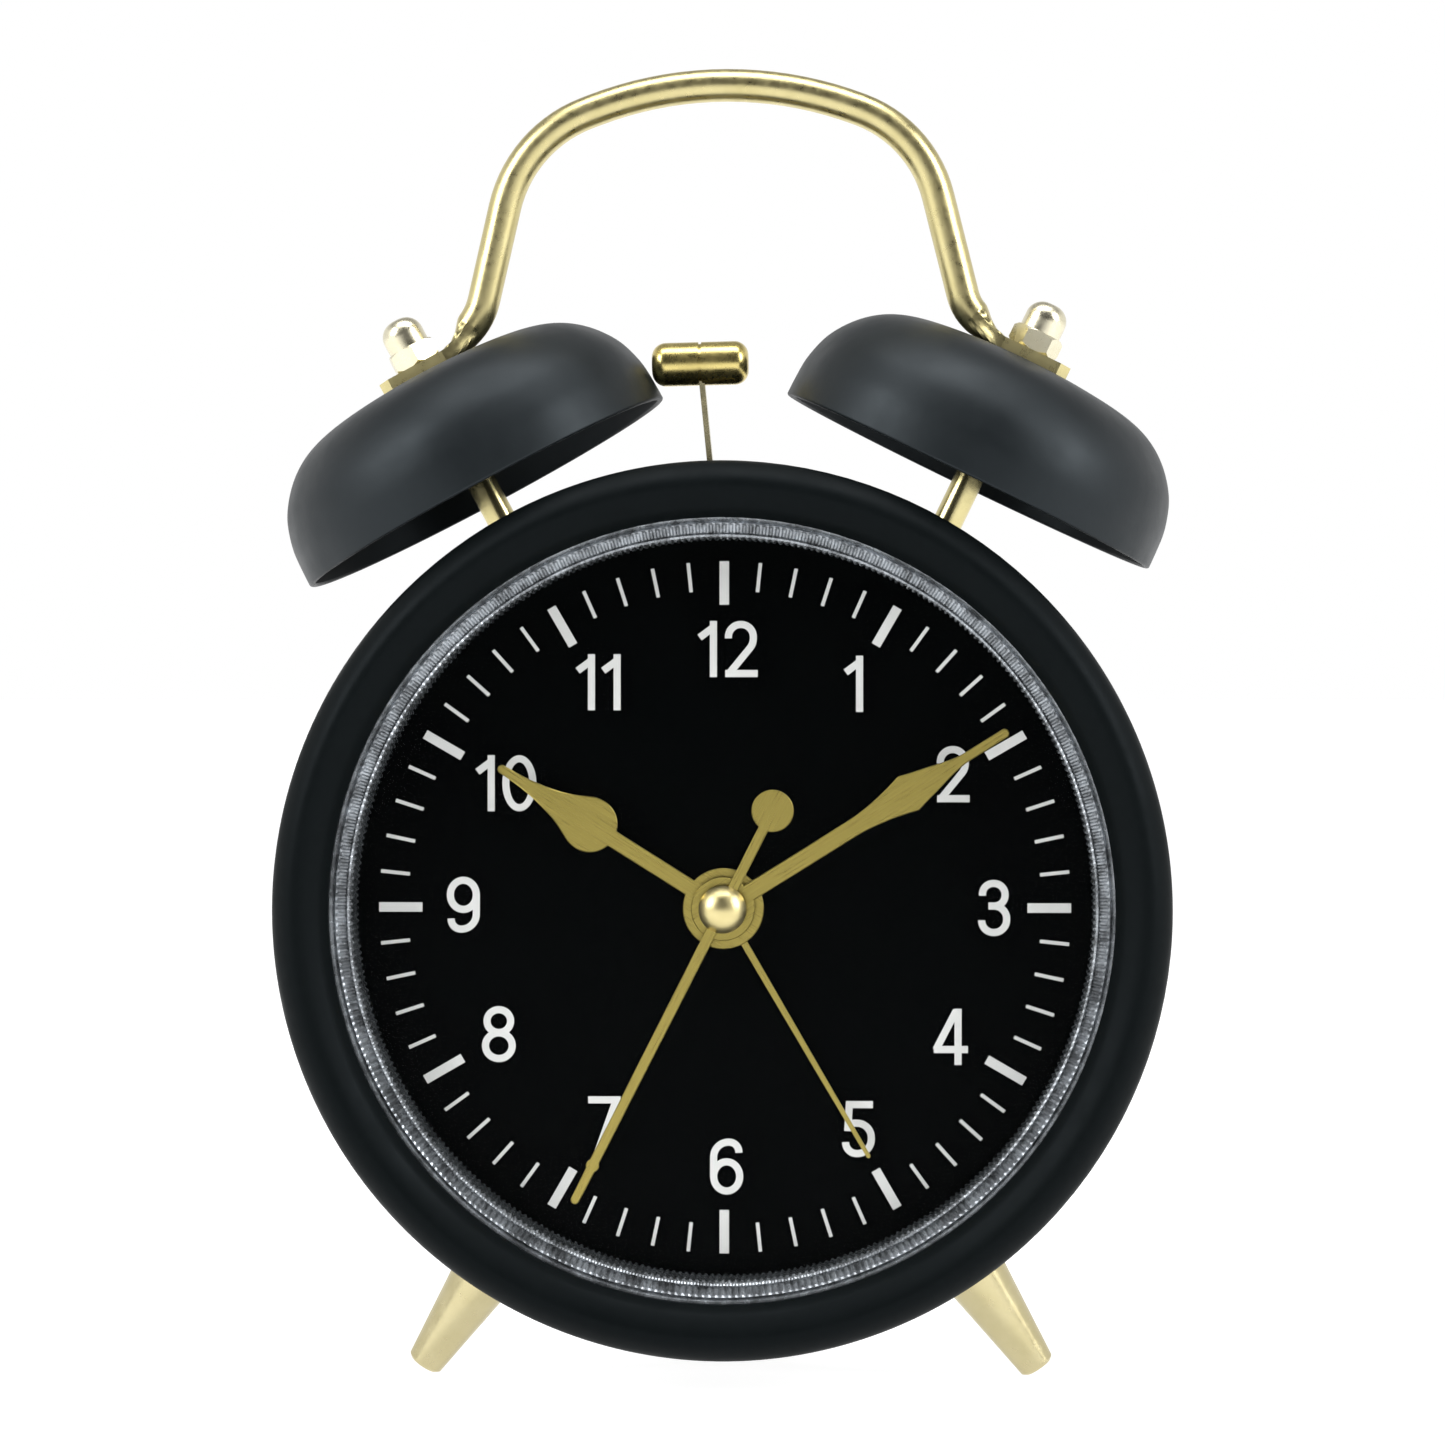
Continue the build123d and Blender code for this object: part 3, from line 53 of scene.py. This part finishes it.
# ---------------------------------------------------------------- material helpers
class Looks:
    """A node tree with short ways to add and join nodes."""

    def __init__(self, name):
        self.material = bpy.data.materials.new(name)
        self.material.use_nodes = True
        self.tree = self.material.node_tree
        self.shader = self.tree.nodes["Principled BSDF"]
        coordinates = self.tree.nodes.new("ShaderNodeTexCoord")
        self.place = coordinates.outputs["Object"]

    def node(self, kind, settings=None, **inputs):
        made = self.tree.nodes.new(kind)
        for key, value in (settings or {}).items():
            setattr(made, key, value)
        for key, value in inputs.items():
            socket = made.inputs[key.replace("_", " ")]
            if isinstance(value, bpy.types.NodeSocket):
                self.tree.links.new(value, socket)
            else:
                socket.default_value = value
        return made

    def noise(self, scale, detail=3.0, roughness=0.55, vector=None):
        made = self.node("ShaderNodeTexNoise", Scale=scale, Detail=detail, Roughness=roughness)
        self.tree.links.new(vector or self.place, made.inputs["Vector"])
        return made.outputs["Fac"]

    def spread(self, value, low, high, start=0.3, end=0.7):
        made = self.node("ShaderNodeMapRange", Value=value)
        made.inputs["From Min"].default_value = start
        made.inputs["From Max"].default_value = end
        made.inputs["To Min"].default_value = low
        made.inputs["To Max"].default_value = high
        return made.outputs["Result"]

    def stretched(self, scale, turn=0.0):
        """Coordinates stretched by the given scales, after a turn about the clock axis."""
        made = self.place
        for setting, value in (("Location", (0, 0, -AXIS_Z)), ("Rotation", (0, turn, 0)),
                               ("Scale", scale)):
            step = self.node("ShaderNodeMapping", {"vector_type": "POINT"}, Vector=made)
            step.inputs[setting].default_value = value
            made = step.outputs["Vector"]
        return made

    def base(self, colour, metallic=0.0, roughness=0.5, **extra):
        self.shader.inputs["Base Color"].default_value = (*colour, 1)
        self.shader.inputs["Metallic"].default_value = metallic
        self.shader.inputs["Roughness"].default_value = roughness
        for key, value in extra.items():
            self.shader.inputs[key.replace("_", " ")].default_value = value

    def link(self, output, name):
        self.tree.links.new(output, self.shader.inputs[name])

    def tint(self, factor, low, high):
        ramp = self.node("ShaderNodeMix", {"data_type": "RGBA"})
        self.tree.links.new(factor, ramp.inputs["Factor"])
        ramp.inputs["A"].default_value = (*low, 1)
        ramp.inputs["B"].default_value = (*high, 1)
        self.link(ramp.outputs["Result"], "Base Color")

    def bump(self, height, depth, strength=0.5, below=None):
        made = self.node("ShaderNodeBump", Height=height, Strength=strength, Distance=depth)
        if below:
            self.tree.links.new(below, made.inputs["Normal"])
        self.link(made.outputs["Normal"], "Normal")
        return made.outputs["Normal"]


def powder_coat(name, colour, sheen):
    """Matt baked powder coat: fine orange peel over a slow change of gloss."""
    look = Looks(name)
    look.base(colour, roughness=0.46, Specular_IOR_Level=sheen, Specular_Tint=(0.80, 0.92, 1.0, 1))
    look.tint(look.noise(900, 4), [c * 0.82 for c in colour], [c * 1.2 for c in colour])
    look.link(look.spread(look.noise(140, 5), 0.40, 0.52), "Roughness")
    coarse = look.bump(look.noise(1500, 2), 20 * MICRON, 0.35)
    look.bump(look.noise(6000, 2), 6 * MICRON, 0.4, coarse)
    return look.material


def plated(name, colour, roughness, streaks=0.0, depth=4 * MICRON):
    """Plated metal with small scratches and a slightly uneven polish."""
    look = Looks(name)
    look.base(colour, metallic=1.0, roughness=roughness)
    dark = [c * shade for c, shade in zip(colour, (0.86, 0.84, 0.72))]
    bright = [min(1.0, c * 1.08) for c in colour]
    look.tint(look.noise(260, 6), dark, bright)
    look.link(look.spread(look.noise(700, 6, 0.7), roughness * 0.75, roughness * 1.3), "Roughness")
    mottle = look.bump(look.noise(2600, 3), depth, 0.35 + streaks)
    look.bump(look.noise(9000, 2), depth * 0.5, 0.3, mottle)
    return look.material


def brushed(name, colour, roughness, turn, along=140.0, across=9000.0):
    """Flat metal brushed in one direction in the plane of the dial."""
    look = Looks(name)
    look.base(colour, metallic=1.0, roughness=roughness)
    lines = look.noise(1.0, 4, 0.6, look.stretched((across, 800.0, along), turn))
    look.tint(lines, [c * 0.62 for c in colour], [min(1.0, c * 1.2) for c in colour])
    look.link(look.spread(lines, roughness * 0.75, roughness * 1.25), "Roughness")
    look.bump(lines, 8 * MICRON, 0.45)
    return look.material


def plastic(name, colour, roughness, grain=2200.0, depth=10 * MICRON, spread=0.12, specular=0.35):
    """Moulded plastic with a fine spark-eroded texture."""
    look = Looks(name)
    look.base(colour, roughness=roughness, Specular_IOR_Level=specular)
    look.tint(look.noise(320, 4), [c * 0.88 for c in colour], [min(1.0, c * 1.1) for c in colour])
    look.link(look.spread(look.noise(420, 4), roughness - spread / 2, roughness + spread / 2),
              "Roughness")
    look.bump(look.noise(grain, 3, 0.6), depth, 0.5)
    return look.material


def lacquer(name, colour, roughness):
    """Even dark lacquer with a very faint texture in its gloss."""
    look = Looks(name)
    look.base(colour, roughness=roughness, Specular_IOR_Level=0.01)
    look.link(look.spread(look.noise(5000, 2), roughness * 0.9, roughness * 1.1), "Roughness")
    look.bump(look.noise(7000, 2), 0.8 * MICRON, 0.2)
    return look.material


def clear(name, opacity, roughness):
    """Thin clear sheet: almost all see-through, with a faint soft reflection of uneven gloss."""
    look = Looks(name)
    look.base((0.0, 0.0, 0.0), roughness=roughness, Alpha=opacity, Specular_IOR_Level=0.5)
    look.link(look.spread(look.noise(60, 4), roughness * 0.6, roughness * 1.6), "Roughness")
    return look.material


def dress(material, *names):
    for name in names:
        piece = nodes[name]
        if not piece.data.materials:
            piece.data.materials.append(material)
        for slot in piece.material_slots:
            slot.material = material


# ---------------------------------------------------------------- materials
# BLACK is a darker copy of the bells' black, partly the coat's own tone and partly painted shade
# on the case.
BLACK = (0.0030, 0.0041, 0.0044)
BELL_BLACK = (0.0040, 0.0054, 0.0062)
GOLD = (0.57, 0.505, 0.27)
BRIGHT_GOLD = (0.66, 0.55, 0.22)
BRUSHED_GOLD = (0.455, 0.37, 0.10)
PALE_GOLD = (0.72, 0.68, 0.54)
FOOT_GOLD = (0.56, 0.50, 0.31)
CAP_GOLD = (0.70, 0.61, 0.32)
STRIP_BRASS = (0.62, 0.56, 0.36)
STEEL = (0.60, 0.60, 0.60)
COPPER = (0.62, 0.24, 0.09)
DIAL_BLACK = (0.0004, 0.0007, 0.0008)
PRINT_WHITE = (0.74, 0.75, 0.735)

# The case's coat has less sheen than the bells' coat: partly painted shade, standing in for the
# shade the bells cast on the bezel.
dress(powder_coat("case_powder_coat", BLACK, sheen=0.055), "drum_case", "bezel")
dress(powder_coat("bell_powder_coat", BELL_BLACK, sheen=0.30), "bell_left", "bell_right")
dress(plated("handle_gold", GOLD, roughness=0.31, streaks=0.1, depth=2 * MICRON), "handle")
dress(plated("nut_gold", PALE_GOLD, roughness=0.29), "acorn_nuts")
dress(plated("foot_gold", FOOT_GOLD, roughness=0.23, streaks=0.2, depth=3 * MICRON),
      "foot_left", "foot_right")
dress(plated("stem_gold", GOLD, roughness=0.17), "bell_stems")
dress(plated("hammer_gold", BRIGHT_GOLD, roughness=0.27), "hammer_head")
dress(plated("cap_gold", CAP_GOLD, roughness=0.36, streaks=0.3), "hand_cap")
dress(plated("spring_strip", STRIP_BRASS, roughness=0.25), "hammer_arm")
dress(plated("nickel", STEEL, roughness=0.25), "bell_studs", "stud_nuts", "motor_bracket",
      "hammer_pivot", "foot_screws", "slide_switch", "battery_contacts", "hammer_motor", "stator",
      "rotor", "cover_screws")

# Brush lines run along each hand, so its material is turned by its angle from twelve, in degrees.
HAND_ANGLES = {"hour_hand": 302.1, "minute_hand": 58.0, "second_hand": 206.9,
               "alarm_hand": 149.7}
for hand_name, hand_angle in HAND_ANGLES.items():
    hand_look = brushed(hand_name + "_brass", BRUSHED_GOLD, roughness=0.32,
                        turn=-math.radians(hand_angle))
    dress(hand_look, hand_name)

dress(lacquer("dial_lacquer", DIAL_BLACK, roughness=0.25), "dial_plate")
dress(plastic("dial_print", PRINT_WHITE, roughness=0.5, grain=6000.0, depth=4 * MICRON,
              spread=0.1, specular=0.3), "dial_marks", "dial_numerals")
dress(clear("lens_glass", opacity=0.02, roughness=0.2), "lens")
dress(plastic("cover_plastic", (0.013, 0.013, 0.0145), roughness=0.55, grain=1700.0,
              depth=30 * MICRON, specular=0.4), "rear_cover", "battery_door")
dress(plastic("control_plastic", (0.018, 0.018, 0.02), roughness=0.42, grain=2600.0,
              depth=12 * MICRON, spread=0.1, specular=0.45),
      "time_set_knob", "alarm_set_knob", "light_button", "alarm_switch_slider", "push_switch")
dress(plastic("movement_black", (0.02, 0.02, 0.022), roughness=0.5),
      "movement_front", "movement_rear")
dress(plastic("gear_acetal", (0.72, 0.69, 0.58), roughness=0.4), "second_wheel", "third_wheel",
      "minute_wheel", "motion_wheel", "hour_wheel", "intermediate_wheel", "alarm_wheel",
      "alarm_idler", "alarm_set_shaft", "time_set_shaft", "motor_crank")
dress(plastic("board_green", (0.02, 0.13, 0.05), roughness=0.35), "movement_board",
      "circuit_board", "light_board")
dress(plastic("lamp_white", (0.85, 0.85, 0.76), roughness=0.25), "light_leds", "coil_bobbin")
dress(brushed("copper_winding", COPPER, roughness=0.3, turn=0.0, along=40.0, across=5000.0),
      "coil_winding")
dress(plastic("cell_jacket", (0.035, 0.08, 0.22), roughness=0.3, grain=900.0, depth=4 * MICRON),
      "batteries")
dress(plastic("rest_rubber", (0.012, 0.012, 0.012), roughness=0.75, grain=1300.0,
              depth=40 * MICRON, spread=0.1, specular=0.3), "rear_rest")


# ---------------------------------------------------------------- ribbed light ring
RIBS = 360
RIB_PROFILE = (0.0, 1.0, 1.0, 0.0)
ring_low, ring_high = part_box("light_ring")


def ribbed_ring():
    """Turned clear ring: a stepped flange and a wall, both with one rib for each degree."""
    outer = (ring_high.x - ring_low.x) / 2 / MM - 0.05
    back = (ring_high.y - ring_low.y) / MM
    # Each row: radius, depth behind the ring's front, radial rib, axial rib, in millimetres.
    flange = [
        (outer, 0.10, 0.0, 0.0), (outer - 0.6, 0.0, 0.0, 0.0), (49.00, 0.05, 0.0, 0.0),
        (48.72, 0.42, 0.0, 0.0), (48.46, 0.08, 0.0, 0.05), (48.20, 0.30, 0.0, 0.22),
        (47.25, 0.55, 0.0, 0.26), (47.00, 0.22, 0.0, 0.12), (46.72, 0.34, 0.05, 0.12),
    ]
    wall = [
        (46.42, 1.20, 0.22, 0.0), (46.40, 2.10, 0.26, 0.0), (46.55, 2.25, 0.22, 0.0),
        (46.40, 2.45, 0.26, 0.0), (46.40, back - 0.6, 0.26, 0.0), (46.40, back, 0.26, 0.0),
        (47.60, back, 0.0, 0.0), (47.60, 1.9, 0.0, 0.0), (47.90, 1.5, 0.0, 0.0),
        (outer, 1.5, 0.0, 0.0),
    ]
    shape = bmesh.new()
    count = RIBS * len(RIB_PROFILE)
    turns = []
    for radius, depth, radial, axial in flange + wall:
        turn = []
        for n in range(count):
            angle = 2 * math.pi * n / count
            rib = RIB_PROFILE[n % len(RIB_PROFILE)]
            r = (radius + radial * rib) * MM
            y = ring_low.y + (depth + axial * rib) * MM
            turn.append(shape.verts.new((r * math.sin(angle), y, AXIS_Z + r * math.cos(angle))))
        turns.append(turn)
    for k, (first, second) in enumerate(zip(turns, turns[1:] + turns[:1])):
        for n in range(count):
            m = (n + 1) % count
            face = shape.faces.new((first[n], first[m], second[m], second[n]))
            face.material_index = 0 if k < len(flange) else 1
    bmesh.ops.recalc_face_normals(shape, faces=shape.faces)
    mesh = bpy.data.meshes.new("ribbed_light_ring")
    shape.to_mesh(mesh)
    shape.free()
    piece = bpy.data.objects.new("light_ring_ribbed", mesh)
    bpy.context.scene.collection.objects.link(piece)
    return piece


def ring_material(name, colour, metallic, roughness):
    """Clear ribbed plastic over a pale backing, with light and dark streaks painted into its
    colour where the ribs gather the light.
    """
    look = Looks(name)
    look.base(colour, metallic=metallic, roughness=roughness, IOR=1.49)
    # Painted highlight and painted shade: random streaks lighten and darken the colour, standing
    # in for the light the ribs gather.
    streaks = look.noise(420, 4, 0.65)
    look.tint(look.spread(streaks, 0.0, 1.0, 0.38, 0.62), [c * 0.55 for c in colour],
              [min(1.0, c * 1.5) for c in colour])
    look.link(look.spread(look.noise(900, 3), roughness * 0.7, roughness * 1.4), "Roughness")
    look.bump(look.noise(1600, 3), 50 * MICRON, 0.4)
    return look.material


RING_PALE = (0.27, 0.29, 0.31)
RING_DARK = (0.055, 0.062, 0.066)

ring = ribbed_ring()
ring.data.materials.append(ring_material("ring_clear", RING_PALE, metallic=0.6, roughness=0.24))
ring.data.materials.append(ring_material("ring_wall", RING_DARK, metallic=0.2, roughness=0.24))
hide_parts("light_ring")
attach(ring, "case")


# ---------------------------------------------------------------- floor, light and camera
def pale_floor():
    mesh = bpy.data.meshes.new("floor")
    shape = bmesh.new()
    bmesh.ops.create_grid(shape, x_segments=2, y_segments=2, size=12.0)
    shape.to_mesh(mesh)
    shape.free()
    floor = bpy.data.objects.new("floor", mesh)
    bpy.context.scene.collection.objects.link(floor)
    look = Looks("floor_white")
    look.base((0.4, 0.4, 0.4), roughness=0.9, Specular_IOR_Level=0.1,
              Emission_Color=(1, 1, 1, 1), Emission_Strength=0.92)
    mesh.materials.append(look.material)


def studio_world():
    """Even white surroundings, dimmer in front of the clock and overhead."""
    world = bpy.data.worlds.new("studio")
    bpy.context.scene.world = world
    world.use_nodes = True
    tree = world.node_tree
    shade = tree.nodes["Background"]
    direction = tree.nodes.new("ShaderNodeTexCoord")
    axes = tree.nodes.new("ShaderNodeSeparateXYZ")
    tree.links.new(direction.outputs["Generated"], axes.inputs["Vector"])

    def ramp(source, start, end, low, high):
        made = tree.nodes.new("ShaderNodeMapRange")
        made.interpolation_type = "SMOOTHSTEP"
        tree.links.new(source, made.inputs["Value"])
        made.inputs["From Min"].default_value = start
        made.inputs["From Max"].default_value = end
        made.inputs["To Min"].default_value = low
        made.inputs["To Max"].default_value = high
        return made.outputs["Result"]

    front_light, overhead_light = 0.06, 0.35
    depth = ramp(axes.outputs["Y"], -0.88, 0.0, front_light, 1.0)
    height = ramp(axes.outputs["Z"], 0.3, 0.75, 1.0, overhead_light)
    both = tree.nodes.new("ShaderNodeMath")
    both.operation = "MULTIPLY"
    tree.links.new(depth, both.inputs[0])
    tree.links.new(height, both.inputs[1])
    tree.links.new(both.outputs["Value"], shade.inputs["Strength"])
    shade.inputs["Color"].default_value = (1.0, 1.0, 1.0, 1)


def softbox(name, place, aim, size, power):
    light = bpy.data.lights.new(name, "AREA")
    light.shape = "RECTANGLE"
    light.size, light.size_y = size
    light.energy = power
    lamp = bpy.data.objects.new(name, light)
    bpy.context.scene.collection.objects.link(lamp)
    lamp.location = place
    lamp.rotation_mode = "QUATERNION"
    lamp.rotation_quaternion = (Vector(aim) - Vector(place)).to_track_quat("-Z", "Y")


def camera():
    """Long lens to the right of and above the dial's axis, aimed above and left of its centre."""
    distance = 0.700
    azimuth = math.radians(2.25)
    elevation = math.radians(2.56)
    aim_above = math.radians(1.91605)
    aim_left = math.radians(0.01865)
    data = bpy.data.cameras.new("camera")
    data.sensor_width = 36.0
    data.lens = 137.7716
    data.clip_start, data.clip_end = 0.01, 100.0
    eye = bpy.data.objects.new("camera", data)
    bpy.context.scene.collection.objects.link(eye)
    back = Vector((math.sin(azimuth) * math.cos(elevation),
                   -math.cos(azimuth) * math.cos(elevation), math.sin(elevation)))
    eye.location = DIAL_CENTRE + back * distance
    eye.rotation_euler = (math.radians(90) - elevation + aim_above, 0, azimuth + aim_left)
    bpy.context.scene.camera = eye


pale_floor()
studio_world()
softbox("key_left", place=(-0.80, -0.50, 0.55), aim=(0, 0, 0.10), size=(0.5, 0.7), power=8.0)
softbox("fill_right", place=(0.85, -0.40, 0.50), aim=(0, 0, 0.08), size=(0.4, 0.7), power=7.5)
softbox("top", place=(0.0, -0.15, 0.95), aim=(0, 0, 0.10), size=(0.9, 0.5), power=7.5)
camera()
bpy.context.scene.view_settings.view_transform = "Standard"
